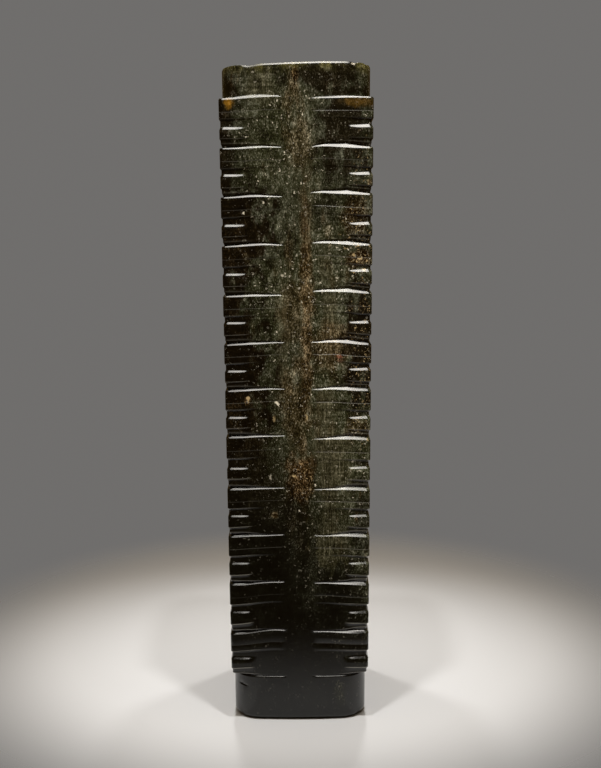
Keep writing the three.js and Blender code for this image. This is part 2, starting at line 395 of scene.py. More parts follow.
# The surround as a light and as the camera sees it, and the floor's middle and the distances from it
# between which the floor fades out.
SURROUND_LIGHT = (0.066, 0.039, 0.01, 1)
BACKDROP = (0.16, 0.155, 0.15, 1)
FLOOR_MIDDLE = Vector((0, 0.1, 0))
FLOOR_FADE = (0.15, 0.27)
FLOOR_COLOR = (0.7, 0.69, 0.68, 1)
FLOOR_ROUGHNESS = 0.7

# Softboxes: place, aim, width, power and spread, in metres, watts and degrees.
LAMP_COLOR = (1.0, 0.96, 0.89)
FRONT_BOX = ((0.04, -0.46, 0.95), (0.0, -0.02, 0.22), 0.7, 1.9, 44)
BACK_BOX = ((-0.04, 0.46, 0.95), (0.0, 0.02, 0.22), 0.7, 1.2, 44)
FLOOR_BOX = ((0.0, 0.03, 1.2), (0.0, 0.03, 0.0), 1.6, 7.5, 180)
# Spots on the right, each with its twin on the left: place, aim, power, cone and radius.
BACK_SPOT = ((0.45, 0.55, 1.3), (0.0, 0.13, 0.0), 27, 22, 0.06)
FLOOR_SPOTS = {
    "front floor": ((0.075, -0.19, 0.95), (0.04, 0.02, 0.0), 11.5, 28, 0.02),
    "back floor": ((0.075, 0.16, 0.95), (0.04, 0.02, 0.0), 7.5, 28, 0.02),
}


def smooth(value, start, end):
    """The smooth step: 0 before start, 1 after end, and 3t^2 - 2t^3 of the share t between them."""
    share = np.clip((value - start) / (end - start), 0, 1)
    return share * share * (3 - 2 * share)


def ridge(value, centre, half):
    """1 on a centre line, falling evenly to 0 at half a width from it."""
    return np.clip(1 - np.abs(value - centre) / half, 0, 1)


def half_width(z):
    """Half the width over the carved faces at a height: a straight taper towards the foot."""
    share = (z - FOOT_HEIGHT) / (CARVED_TOP - FOOT_HEIGHT)
    return LOW_HALF_WIDTH + (TOP_HALF_WIDTH - LOW_HALF_WIDTH) * share - POLISH_LOSS


def section_radius(angle, half, side_radius, corner_radius):
    """Distance from the axis to a round-cornered square with bowed sides.

    The side is an arc about a point on the face's normal, and the corner is a smaller arc about a
    point on the diagonal, set so that the two arcs meet smoothly.
    """
    folded = np.abs(angle - QUARTER * np.round(angle / QUARTER))
    side_centre = half - side_radius
    reach = side_radius - corner_radius
    corner_centre = (side_centre + np.sqrt(2 * reach**2 - side_centre**2)) / 2
    side_end_out = side_centre + (corner_centre - side_centre) * side_radius / reach
    side_end_across = corner_centre * side_radius / reach
    cosine = np.cos(folded)
    sine = np.sin(folded)
    side = side_centre * cosine + np.sqrt(side_radius**2 - (side_centre * sine) ** 2)
    off_diagonal = np.minimum(np.abs(corner_centre * (cosine - sine)), corner_radius)
    corner = corner_centre * (cosine + sine) + np.sqrt(corner_radius**2 - off_diagonal**2)
    return np.where(folded <= np.arctan2(side_end_across, side_end_out), side, corner)


def core_radius(angle, z):
    """The plain section at a height."""
    return section_radius(angle, half_width(z) - CORE_INSET, CORE_SIDE_RADIUS, CORE_CORNER_RADIUS)


def panel_radius(angle, z):
    """The carved section at a height."""
    return section_radius(angle, half_width(z), PANEL_SIDE_RADIUS, PANEL_CORNER_RADIUS)


def column_angles():
    """Angles of the upright columns, anticlockwise from +X.

    Half a face is cut into stretches with even steps, closer at the strip's edge, the end of the nose
    bar and the round corner. The half is mirrored about the diagonal and repeated for the corners.
    """
    place = [np.linspace(start, end, count, endpoint=False) for start, end, count in COLUMN_STRETCHES]
    half = np.arctan2(np.concatenate(place) * MM, TOP_HALF_WIDTH)
    corner = np.concatenate([half, [QUARTER / 2], QUARTER - half[:0:-1]])
    return np.concatenate([corner + QUARTER * index for index in range(CORNERS)])


ANGLES = column_angles()
FOLDED = np.abs(ANGLES - QUARTER * np.round(ANGLES / QUARTER))
PLACES = TOP_HALF_WIDTH * np.tan(FOLDED)
# The half faces on both sides of the front left and the front right corner, in their order round the stone.
FRONT_PANELS = slice(4, 8)
BAR_START = TOP_HALF_WIDTH - BAR_LENGTH
ON_BAR = smooth(PLACES, BAR_START - BAR_END_SLOPE / 2, BAR_START + BAR_END_SLOPE / 2)


def rows(shares):
    """Shares as a column, one for each row of the grid."""
    return np.asarray(shares)[:, None]


def by_corner(values):
    """One value for each corner, even over the corner and passing to the next across the middle strip."""
    middles = QUARTER * (np.arange(CORNERS) + 0.5)
    reach = QUARTER / 2 - math.atan2(STRIP_HALF_WIDTH, TOP_HALF_WIDTH)
    knots = np.stack([middles - reach, middles + reach], axis=1).ravel()
    return np.interp(ANGLES, knots, np.repeat(values, 2), period=2 * math.pi)


def by_panel(values):
    """One value for each of the eight half faces, in their order round the stone."""
    return np.asarray(values)[(ANGLES // (QUARTER / 2)).astype(int) % (2 * CORNERS)]


def level_line(tier):
    """Height of a tier's upper edge as marked out, in every column; tier TIERS is the foot's edge.

    The even height, less the corner's own drop, which passes from corner to corner across the strips.
    """
    even = CARVED_TOP - TIER_HEIGHTS[:tier].sum()
    if tier == TIERS:
        return even + 0 * ANGLES
    front = LEFT_DROPS[tier] / 2
    back = LEFT_DROPS[TIERS - 1 - tier] / 2
    return even - by_corner([back, -back, front, -front])


def ledge_line(tier):
    """Height of a tier's upper edge as sawn, in every column.

    The level line with two low waves for the stray of the saw and, except at the foot, a rise towards the
    middle strip and a droop towards each corner.
    """
    draws = np.random.default_rng(LEDGE_SEED + tier)
    phases = draws.uniform(0, 2 * math.pi, len(SAW_WAVES))
    stray = sum(share * np.sin(count * ANGLES + phase) for (count, share), phase in zip(SAW_WAVES, phases))
    sawn = level_line(tier) + SAW_STRAY * stray
    if tier == TIERS:
        return sawn
    lifts = [LEFT_LIFTS[-1 - tier], RIGHT_LIFTS[-1 - tier], LEFT_LIFTS[tier], RIGHT_LIFTS[tier]]
    outward = smooth(PLACES, DROOP_START, TOP_HALF_WIDTH)
    droops = LEDGE_DROOP * draws.uniform(*DROOP_RANGE, 2 * CORNERS)
    droops[FRONT_PANELS] = np.repeat([LEFT_DROOPS[tier], RIGHT_DROOPS[tier]], 2)
    return sawn + by_corner(lifts) * (1 - outward) - by_panel(droops) * outward


def on_panel(tier):
    """1 on the panels and 0 on the middle strips, whose edge strays from tier to tier."""
    draws = np.random.default_rng(STRIP_SEED + tier)
    stray = STRIP_STRAY * by_panel(draws.uniform(-1, 1, 2 * CORNERS))
    edge = PLACES - STRIP_HALF_WIDTH - stray
    return smooth(edge, -STRIP_SLOPE / 2, STRIP_SLOPE / 2)


def relief(z, panel):
    """How far the carved section stands out from the plain one, in every column."""
    return (panel_radius(ANGLES, z) - core_radius(ANGLES, z)) * panel


def ledge_slope(z):
    """Depth of a ledge for its height: the lower ledges lie flatter."""
    return LEDGE_SLOPE_LOW + (LEDGE_SLOPE_TOP - LEDGE_SLOPE_LOW) * z / TOTAL_HEIGHT


def ledge_height(z, panel, boldness, room):
    """Height of a sloping ledge: it swells from the strip, tapers to the corner, and is least on the strip.

    It is no higher than its slope allows within the room between the tier's edge and the groove.
    """
    low = 1 - smooth(z, *LEDGE_FADE)
    taper = 1 - (1 - LEDGE_CORNER_SHARE) * smooth(PLACES, *LEDGE_TAPER) * (1 - low)
    bold = boldness * (1 - (1 - by_corner(LEDGE_LOW_SHARE)) * low)
    swell = smooth(PLACES - LEDGE_LOW_SHIFT * low, *LEDGE_SWELL) * taper * panel * bold
    least = LEDGE_LEAST * (1 - (1 - LEDGE_LOW_LEAST) * low)
    height = least + (LEDGE_MOST - least) * swell
    return np.minimum(height, np.maximum(room / ledge_slope(z), least / 2))


def tier_block(tier):
    """Rows of one tier from its lower neighbour's edge up to its own: heights, radii, painted shade and
    painted edge reflections.

    The level falls from the bands to the sunk field by a smooth ramp, rises on the nose bar and falls
    back along its underside. Below, the upper flank of the saw cut falls to the groove, and the ledge
    climbs from it to the edge of the tier below.
    """
    top = ledge_line(tier)
    low = ledge_line(tier + 1)
    height = top - low
    on_foot = tier == TIERS - 1
    panel = on_panel(tier)
    cut_depth = (FOOT_CUT_DEPTH if on_foot else CUT_DEPTH) * panel
    room = (0 if on_foot else (1 - GROOVE_LEVEL) * np.minimum(relief(low, panel), RELIEF_MOST)) + cut_depth
    ledge = ledge_height(low, panel, 0 if on_foot else by_corner(LEDGE_BOLDNESS), room)
    across_panel = smooth(PLACES, STRIP_HALF_WIDTH, TOP_HALF_WIDTH)
    flank = CUT_RISE_STRIP + (CUT_RISE_CORNER - CUT_RISE_STRIP) * across_panel

    upper = top - rows(BAND_ROWS + FIELD_ROWS) * height
    along_bar = smooth(PLACES, BAR_START, TOP_HALF_WIDTH)
    marked = level_line(tier)
    bar_top = marked - BAR_TOP * (marked - level_line(tier + 1)) + by_corner(BAR_CLIMB) * along_bar
    bar_top = bar_top + by_corner([0, 0, LEFT_BAR_LIFTS[tier], RIGHT_BAR_LIFTS[tier]])
    field_level = FIELD_LEVEL - by_corner(FIELD_SINK) * along_bar
    bar_drop = (BAR_LEVEL - field_level) * np.minimum(relief(bar_top, panel), RELIEF_MOST)
    bar_rise = np.maximum(bar_drop / ledge_slope(bar_top), BAR_RISE_LEAST)
    over_bar = bar_top - rows(OVER_BAR_ROWS) * bar_rise
    lead = np.minimum(BAR_LEAD, (upper[-1] - bar_top) / 2)
    over_bar = np.concatenate([bar_top[None] + lead, over_bar])
    cut_low = low + ledge + SHELF_RISE
    cut_top = cut_low + flank
    bar_low = top - BAR_END * height
    on_bar = top - rows(BAR_ROWS) * height
    under_bar = bar_low + rows(UNDER_BAR_ROWS) * (cut_top - bar_low)
    over_cut = cut_low + rows(FLANK_ROWS) * flank
    on_ledge = low + rows(LEDGE_ROWS) * ledge
    z = np.concatenate([upper, over_bar, on_bar, under_bar, over_cut, on_ledge])

    share = (top - z) / height
    level = 1 + (field_level - 1) * smooth(share, BAND_END, FIELD_START)
    bar = np.clip((bar_top - z) / bar_rise, 0, 1) * ON_BAR
    under = np.clip((bar_low - z) / (bar_low - cut_top), 0, 1)
    bar = bar * (1 - smooth(under, 0, UNDER_BAR))
    level = level + (BAR_LEVEL - level) * bar
    draws = np.random.default_rng(SCRIBE_SEED + tier)
    pressed = by_panel(draws.uniform(*SCRIBE_STRENGTH, 2 * CORNERS)) * panel
    pressed = pressed * by_corner(SCRIBE_BOLDNESS)
    scribe = ridge(share, SCRIBE_SHARE, SCRIBE_HALF) * pressed
    core = core_radius(ANGLES, z)
    outer = core + relief(z, panel)
    depth = np.minimum(relief(z, panel), RELIEF_MOST)
    carved = outer - (1 - level) * depth - SCRIBE_DEPTH * scribe
    edge = core if on_foot else outer
    groove = (core if on_foot else outer - (1 - GROOVE_LEVEL) * depth) - cut_depth
    slope = np.minimum(ledge_slope(low) * ledge, edge - groove)
    sink = np.clip((cut_top - z) / flank, 0, 1)
    climb = np.clip((low + ledge - z) / ledge, 0, 1)
    on_plane = z <= low + ledge + SHELF_RISE / 2
    radius = np.where(on_plane, edge - slope * (1 - climb), carved + (groove - carved) * sink)
    # Painted shade: the deeper the carving lies below its outer surface, the darker.
    recess_shade_depth = np.where(on_plane, 0, np.clip((outer - radius) / RECESS_SHADE_FULL, 0, 1))
    # Pale painted reflections along the band's lower edge, the bar's underside and the saw cut's top,
    # stronger towards the corner and the foot, and a painted highlight along the scribed line, fading
    # towards the foot.
    edge_sheen = np.maximum(ridge(z, top - BAND_END * height, EDGE_SHEEN_HALF), ridge(z, bar_low, EDGE_SHEEN_HALF) * ON_BAR)
    edge_sheen = np.maximum(edge_sheen, ridge(z, cut_top, EDGE_SHEEN_HALF)) * smooth(PLACES, *EDGE_SHEEN_GROWTH)
    edge_sheen = edge_sheen * (EDGE_SHEEN_LOW + (EDGE_SHEEN_TOP - EDGE_SHEEN_LOW) * low / TOTAL_HEIGHT)
    edge_sheen = np.maximum(edge_sheen, SCRIBE_SHEEN * scribe * smooth(low, 0, SCRIBE_FADE))
    return z[::-1], radius[::-1], recess_shade_depth[::-1], edge_sheen[::-1]


def rim_wear():
    """How far the rubbed down and chipped rim lies below its full height, in every column."""
    radius = core_radius(ANGLES, TOTAL_HEIGHT)
    x = radius * np.cos(ANGLES)
    y = radius * np.sin(ANGLES)
    wear = RIM_WEAR * smooth(-x, *RIM_WEAR_LEFT) * smooth(-y, *RIM_WEAR_FRONT)
    place, half, depth = RIM_CHIPS.T[:, :, None]
    chips = depth * smooth(1 - np.abs(x - place) / half, 0, 1) * (y < 0)
    return wear + chips.sum(axis=0)


def foot_block():
    """Rows of the foot from its lower edge up: a steep bevel with rounded edges, then the plain wall."""
    edge_z = FOOT_BEVEL_RISE * rows(FOOT_BEVEL_UP) + 0 * ANGLES
    edge_radius = core_radius(ANGLES, 0) - FOOT_BEVEL * (1 - rows(FOOT_BEVEL_OUT))
    place, nick_z, half_length, half_height, depth = NICK
    nick_rows = (nick_z + half_height * NICK_ROWS) / FOOT_HEIGHT
    wall_z = rows([*FOOT_LOW_ROWS, *nick_rows, *FOOT_TOP_ROWS]) * ledge_line(TIERS)
    wall_radius = core_radius(ANGLES, wall_z)
    along = (wall_radius * np.cos(ANGLES) - place) / half_length
    upward = (wall_z - nick_z) / half_height + NICK_LEAN * along
    nick = depth * np.clip(1 - along**2, 0, 1) * np.clip(1 - np.abs(upward), 0, 1)
    nick = nick * (np.sin(ANGLES) < 0)
    z = np.concatenate([edge_z, wall_z])
    return z, np.concatenate([edge_radius, wall_radius - nick]), 0 * z, 0 * z


def collar_block():
    """Rows from the first tier's edge up the collar's wall and round the rim's outer bevel."""
    edge = ledge_line(0)
    panel = on_panel(0)
    ledge = ledge_height(edge, panel, by_corner(COLLAR_BOLDNESS), relief(edge, panel))
    climb = rows(COLLAR_LEDGE_ROWS)
    ledge_z = edge + climb * ledge
    slope = np.minimum(ledge_slope(edge) * ledge, relief(edge, panel))
    ledge_radius = core_radius(ANGLES, ledge_z) + relief(ledge_z, panel) - climb * slope
    rim = TOTAL_HEIGHT - rim_wear()
    start = edge + ledge + SHELF_RISE
    wall_z = start + rows(COLLAR_WALL_ROWS) * (rim - RIM_BEVEL - start)
    bevel_z = rim - RIM_BEVEL * (1 - rows(RIM_BEVEL_UP))
    bevel_radius = core_radius(ANGLES, TOTAL_HEIGHT) - RIM_BEVEL * rows(RIM_BEVEL_IN)
    z = np.concatenate([ledge_z, wall_z, bevel_z])
    return z, np.concatenate([ledge_radius, core_radius(ANGLES, wall_z), bevel_radius]), 0 * z, 0 * z


def bore_radius(z):
    """The two tapering drill paths, which meet with a short slope near the middle."""
    heights = [0, BORE_MEET_LOW, BORE_MEET_TOP, TOTAL_HEIGHT]
    radii = [BORE_LOW_RADIUS, BORE_MEET_LOW_RADIUS, BORE_MEET_TOP_RADIUS, BORE_TOP_RADIUS]
    return np.interp(z, heights, radii)


def bore_block():
    """Rows from the rim's inner part over the top face, down the bore and back across the underside."""
    mouth_z = TOTAL_HEIGHT - MOUTH_DIP
    rim = TOTAL_HEIGHT - rim_wear()
    rim_radius = core_radius(ANGLES, TOTAL_HEIGHT) - RIM_BEVEL
    mouth = BORE_TOP_RADIUS + BORE_BEVEL
    top_z = rim + (mouth_z - rim) * rows(TOP_FACE_ROWS)
    top_radius = rim_radius + (mouth - rim_radius) * rows(TOP_FACE_ROWS)
    turn = rows(np.linspace(0, 1, BORE_BEVEL_ROWS)) * QUARTER
    mouth_edge_z = mouth_z - BORE_BEVEL * (1 - np.cos(turn[1:])) + 0 * ANGLES
    mouth_edge_radius = mouth - BORE_BEVEL * np.sin(turn[1:]) + 0 * ANGLES
    upper = np.linspace(mouth_z - BORE_END_GAP, BORE_MEET_TOP + BORE_LEDGE_GAP, BORE_PATH_ROWS)
    meet = np.linspace(BORE_MEET_TOP, BORE_MEET_LOW, BORE_LEDGE_ROWS)
    lower = np.linspace(BORE_MEET_LOW - BORE_LEDGE_GAP, BORE_END_GAP, BORE_PATH_ROWS)
    wall_z = rows([*upper, *meet, *lower]) + 0 * ANGLES
    low_mouth = BORE_LOW_RADIUS + BORE_BEVEL
    low_edge_z = BORE_BEVEL * (1 - np.sin(turn)) + 0 * ANGLES
    low_edge_radius = low_mouth - BORE_BEVEL * np.cos(turn) + 0 * ANGLES
    under_edge = core_radius(ANGLES, 0) - FOOT_BEVEL
    under_radius = low_mouth + (under_edge - low_mouth) * rows(UNDERSIDE_ROWS)
    under_z = 0 * under_radius
    z = np.concatenate([top_z, mouth_edge_z, wall_z, low_edge_z, under_z])
    radius = [top_radius, mouth_edge_radius, bore_radius(wall_z), low_edge_radius, under_radius]
    return z, np.concatenate(radius), 0 * z, 0 * z


def stone_grid():
    """Heights, radii, painted shade in the recesses and painted edge reflections of the whole surface.

    Foot, tiers, collar, rim, bore and underside follow each other in one loop.
    """
    blocks = [foot_block()]
    blocks += [tier_block(tier) for tier in reversed(range(TIERS))]
    blocks += [collar_block(), bore_block()]
    return [np.concatenate(parts) for parts in zip(*blocks)]


def grid_mesh(name, z, radius):
    """A closed mesh of a grid of heights and radii that joins up both ways, with every face outward."""
    points = np.stack([radius * np.cos(ANGLES), radius * np.sin(ANGLES), z], axis=-1).reshape(-1, 3)
    index = np.arange(z.size).reshape(z.shape)
    beside = np.roll(index, -1, axis=1)
    faces = np.stack([index, beside, np.roll(beside, -1, axis=0), np.roll(index, -1, axis=0)], axis=-1)
    mesh = bpy.data.meshes.new(name)
    mesh.from_pydata(points.tolist(), [], faces.reshape(-1, 4).tolist())
    mesh.polygons.foreach_set("use_smooth", np.ones(len(mesh.polygons), bool))
    mesh.update()
    return mesh


def add_object(name, data):
    """Links a new object to the scene."""
    made = bpy.data.objects.new(name, data)
    bpy.context.scene.collection.objects.link(made)
    return made


def add_node(tree, kind, inputs=None, **settings):
    """A new node with its settings, whose inputs are linked to sockets or set to plain values."""
    made = tree.nodes.new(kind)
    for name, value in settings.items():
        setattr(made, name, value)
    for name, value in (inputs or {}).items():
        if isinstance(value, bpy.types.NodeSocket):
            tree.links.new(value, made.inputs[name])
        else:
            made.inputs[name].default_value = value
    return made


def new_material(name):
    """An empty node material and its tree."""
    material = bpy.data.materials.new(name)
    material.use_nodes = True
    material.node_tree.nodes.clear()
    return material, material.node_tree


def calc(tree, operation, first, second=0.0):
    """A plain operation on two values, by its name."""
    return add_node(tree, "ShaderNodeMath", {0: first, 1: second}, operation=operation).outputs[0]


def plus(tree, first, second):
    """The sum of two values."""
    return calc(tree, "ADD", first, second)


def minus(tree, first, second):
    """The difference of two values."""
    return calc(tree, "SUBTRACT", first, second)


def times(tree, first, second):
    """The product of two values."""
    return calc(tree, "MULTIPLY", first, second)


def most(tree, first, second):
    """The greater of two values."""
    return calc(tree, "MAXIMUM", first, second)


def vector_calc(tree, operation, inputs, output="Vector"):
    """An operation on vectors, by its name, and one of its outputs."""
    return add_node(tree, "ShaderNodeVectorMath", inputs, operation=operation).outputs[output]


def span(tree, value, start, end):
    """The smooth step of a value between two bounds, which runs backwards where start is over end."""
    inputs = {"Value": value, "From Min": start, "From Max": end}
    return add_node(tree, "ShaderNodeMapRange", inputs, interpolation_type="SMOOTHSTEP").outputs[0]


def tint(tree, share, under, over):
    """A colour with a share of another laid over it."""
    made = add_node(tree, "ShaderNodeMix", {0: share, 6: under, 7: over}, data_type="RGBA")
    return made.outputs[2]


def noise(tree, place, factors, turn, scale, detail, rough):
    """Cloudy noise about one half, at a place with its axes scaled and turned about Y."""
    inputs = {"Vector": place, "Rotation": (0, turn, 0), "Scale": factors}
    place = add_node(tree, "ShaderNodeMapping", inputs).outputs[0]
    inputs = {"Vector": place, "Scale": scale, "Detail": detail, "Roughness": rough}
    return add_node(tree, "ShaderNodeTexNoise", inputs).outputs[0]


def group_tree(name, inputs, outputs):
    """An empty shader group with plain number inputs and typed outputs."""
    tree = bpy.data.node_groups.new(name, "ShaderNodeTree")
    for socket, value in inputs.items():
        made = tree.interface.new_socket(socket, in_out="INPUT", socket_type="NodeSocketFloat")
        made.default_value = value
    for socket, kind in outputs.items():
        tree.interface.new_socket(socket, in_out="OUTPUT", socket_type=kind)
    return tree


def zones(tree, place, drift, marks):
    """The strongest of several soft patches, each a ball stretched to its reach, with a drifting edge."""
    strongest = 0.0
    for centre, reach, strength in marks:
        away = vector_calc(tree, "SUBTRACT", {0: place, 1: centre})
        away = vector_calc(tree, "DIVIDE", {0: away, 1: reach})
        away = vector_calc(tree, "LENGTH", {0: away}, "Value")
        share = span(tree, plus(tree, away, drift), *ZONE_EDGE)
        strongest = most(tree, times(tree, share, strength), strongest)
    return strongest


def specks(tree, place, scale, size, share):
    """Small uneven grains in some of the cells of a cell pattern, mostly faint and each of its own size."""
    cells = add_node(tree, "ShaderNodeTexVoronoi", {"Vector": place, "Scale": scale})
    draws = add_node(tree, "ShaderNodeSeparateColor", {0: cells.outputs["Color"]})
    radius = times(tree, plus(tree, draws.outputs[1], GRAIN_LEAST), size / (1 + GRAIN_LEAST) * scale)
    grain = span(tree, minus(tree, cells.outputs["Distance"], radius), GRAIN_EDGE * scale, 0.0)
    chosen = span(tree, draws.outputs[0], 1 - share, 1 - share + 0.05)
    shine = plus(tree, times(tree, calc(tree, "POWER", draws.outputs[2], 1.8), 0.9), 0.1)
    return times(tree, times(tree, grain, chosen), shine)


def weighed(tree, parts):
    """The sum of several noises about their middle, each times its weight."""
    total = 0.0
    for value, weight in parts:
        total = plus(tree, times(tree, minus(tree, value, 0.5), weight), total)
    return total


def nephrite_figure():
    """The figure of the stone, in millimetres of its own space, as a group that both finishes share.

    A dark green ground with slow clouds carries fine upright flecks in clusters, which fade towards the
    foot under painted shade and at the front left corner. Rust follows the middle strips, amber flecks lie
    at the corners, a pale streaked haze on the right of the front, and small pale grains are strewn over
    all. Painted shade darkens the recesses of the carving, pale painted reflections line its edges, and a
    painted glow of light shining through marks the narrow edges under the collar and along the rim.
    """
    outputs = {"Color": "NodeSocketColor", "Gloss": "NodeSocketFloat", "Pits": "NodeSocketFloat"}
    tree = group_tree("nephrite figure", {"Fibres": 1.0, "Recess Shade": 0.0, "Edge Sheen": 0.0}, outputs)
    given = tree.nodes.new("NodeGroupInput")
    place = add_node(tree, "ShaderNodeTexCoord").outputs["Object"]
    place = vector_calc(tree, "MULTIPLY", {0: place, 1: (1 / MM, 1 / MM, 1 / MM)})
    x, y, z = add_node(tree, "ShaderNodeSeparateXYZ", {0: place}).outputs

    noises = [noise(tree, place, *settings) for settings in NOISES.values()]
    cloud, mottle, cluster, upright, longer, hair, level, vein = noises
    drift = times(tree, minus(tree, mottle, 0.5), DRIFT)
    inputs = {"Vector": place, "Scale": WARP_SCALE, "Detail": 2.0}
    warp = add_node(tree, "ShaderNodeTexNoise", inputs).outputs["Color"]
    warp = vector_calc(tree, "SUBTRACT", {0: warp, 1: (0.5, 0.5, 0.5)})
    warp = vector_calc(tree, "SCALE", {0: warp, "Scale": WARP_REACH})
    uneven = vector_calc(tree, "ADD", {0: place, 1: warp})
    across = calc(tree, "MINIMUM", calc(tree, "ABSOLUTE", x), calc(tree, "ABSOLUTE", y))

    # How bright the stone is: more to the right and towards the mouth, with painted shade deepening towards
    # the foot, less at one corner and in dark zones.
    tone_and_shade = plus(tree, z, times(tree, x, TONE_LEAN))
    tone_and_shade = plus(tree, tone_and_shade, times(tree, minus(tree, cloud, 0.5), TONE_CLOUDS))
    tone_and_shade = span(tree, tone_and_shade, *SHADE_HEIGHTS)
    corner = add_node(tree, "ShaderNodeCombineXYZ", {0: x, 1: y}).outputs[0]
    corner = vector_calc(tree, "DISTANCE", {0: corner, 1: DARK_CORNER}, "Value")
    corner = plus(tree, corner, times(tree, mottle, CORNER_DRIFT))
    tone_and_shade = times(tree, tone_and_shade, span(tree, corner, *CORNER_REACH))
    shade = times(tree, zones(tree, place, drift, DARK_ZONES), 0.9)
    tone_and_shade = times(tree, tone_and_shade, minus(tree, 1.0, shade))
    bright = times(tree, zones(tree, place, drift, BRIGHT_ZONES), 0.8)
    strong = most(tree, tone_and_shade, bright)

    # Where the haze, the rust, the gold and the glow lie.
    haze = zones(tree, place, drift, HAZE_ZONES)
    vein = plus(tree, vein, times(tree, span(tree, across, *RUST_PLACES), 0.1))
    vein = times(tree, span(tree, vein, 0.56, 0.78), 0.5)
    vein = most(tree, vein, zones(tree, place, drift, RUST_ZONES))
    gold = times(tree, span(tree, across, *GOLD_PLACES), span(tree, vein, 0.05, 0.4))
    gold = most(tree, gold, zones(tree, place, drift, AMBER_ZONES))
    # A painted glow of light shining through the narrow edges under the collar.
    glow = calc(tree, "POWER", zones(tree, place, drift, GLOW_ZONES), 2.0)
    glow = times(tree, glow, span(tree, z, *GLOW_END))

    # The grain as a gain of brightness: upright flecks, hairs in the haze and level scores on the panels.
    parts = [(upright, 5.0), (longer, 2.2), (cluster, 2.8), (mottle, 2.4), (cloud, 1.6)]
    grain = weighed(tree, parts)
    grain = times(tree, grain, plus(tree, times(tree, most(tree, gold, vein), 0.7), 1.0))
    streaks = weighed(tree, [(hair, 5.5), (upright, 2.2), (mottle, 1.5)])
    inputs = {0: times(tree, haze, 0.75), 2: grain, 3: streaks}
    grain = add_node(tree, "ShaderNodeMix", inputs).outputs[0]
    grain = times(tree, grain, minus(tree, 1.0, times(tree, glow, 0.6)))
    scored = times(tree, span(tree, across, *SCORE_PLACES), minus(tree, level, 0.5))
    grain = plus(tree, grain, times(tree, scored, 2.2))
    gain = calc(tree, "POWER", math.e, times(tree, grain, given.outputs["Fibres"]))
    gain = times(tree, gain, plus(tree, times(tree, strong, 0.91), 0.09))

    # The colours, laid over each other from the ground up.
    color = tint(tree, span(tree, cloud, 0.35, 0.65), *GREEN)
    color = tint(tree, span(tree, grain, 0.0, 1.2), color, GREEN_LIGHT)
    color = tint(tree, times(tree, haze, 0.7), color, tint(tree, span(tree, grain, -0.6, 0.8), *HAZE))
    color = tint(tree, times(tree, vein, 0.85), color, tint(tree, span(tree, grain, -0.2, 1.2), *RUST))
    red = zones(tree, place, times(tree, drift, 0.4), RED_MARKS)
    color = tint(tree, red, color, RED)
    color = tint(tree, times(tree, gold, 0.95), color, tint(tree, span(tree, grain, 0.1, 1.5), *AMBER))
    # The painted glow under the collar and along the rim's narrow edge.
    color = tint(tree, times(tree, glow, 0.85), color, GLOW)
    rim_glow = times(tree, span(tree, z, *RIM_HEIGHTS), span(tree, mottle, 0.32, 0.56))
    color = tint(tree, times(tree, rim_glow, 0.6), color, RIM_GLOW_COLOR)
    deep = tint(tree, span(tree, z, *DEEP_HEIGHTS), *DEEP)
    color = tint(tree, span(tree, strong, 0.45, 0.05), color, deep)
    color = vector_calc(tree, "SCALE", {0: color, "Scale": gain})
    # Painted shade darkens the recesses of the carving.
    recess_shade = times(tree, span(tree, given.outputs["Recess Shade"], 0.3, 0.9), 0.85)
    color = tint(tree, recess_shade, color, RECESS_SHADE_COLOR)
    # Pale painted reflections along the edges of the carving.
    color = tint(tree, times(tree, given.outputs["Edge Sheen"], 0.8), color, EDGE_SHEEN_COLOR)

    # Golden sparks, tan flecks and pale grains on top, fewer in the haze and, under painted shade, towards
    # the foot.
    clear = times(tree, strong, minus(tree, 1.0, times(tree, haze, 0.6)))
    golden = most(tree, times(tree, gold, strong), zones(tree, place, drift, SPARK_ZONES))
    sparks = times(tree, specks(tree, uneven, *SPARK_GRAINS), golden)
    sparks = most(tree, sparks, zones(tree, uneven, 0.0, GOLD_MARKS))
    color = tint(tree, sparks, color, GOLDEN_GRAIN)
    fleck = times(tree, span(tree, upright, 0.58, 0.74), span(tree, cluster, 0.4, 0.6))
    fleck = most(tree, fleck, specks(tree, uneven, *FLECK_GRAINS))
    fleck = times(tree, fleck, clear)
    color = tint(tree, times(tree, fleck, 0.7), color, TAN_FLECK)
    faint = plus(tree, times(tree, span(tree, z, *GRAIN_HEIGHTS), 0.11), 0.04)
    shown = plus(tree, times(tree, clear, 0.85), faint)
    grains = most(tree, specks(tree, uneven, *LARGE_GRAINS), specks(tree, uneven, *SMALL_GRAINS))
    grains = most(tree, times(tree, grains, shown), zones(tree, uneven, 0.0, PALE_MARKS))
    color = tint(tree, grains, color, PALE_GRAIN)

    result = tree.nodes.new("NodeGroupOutput")
    tree.links.new(color, result.inputs["Color"])
    tree.links.new(plus(tree, upright, times(tree, haze, 0.4)), result.inputs["Gloss"])
    tree.links.new(minus(tree, mottle, grains), result.inputs["Pits"])
    return tree


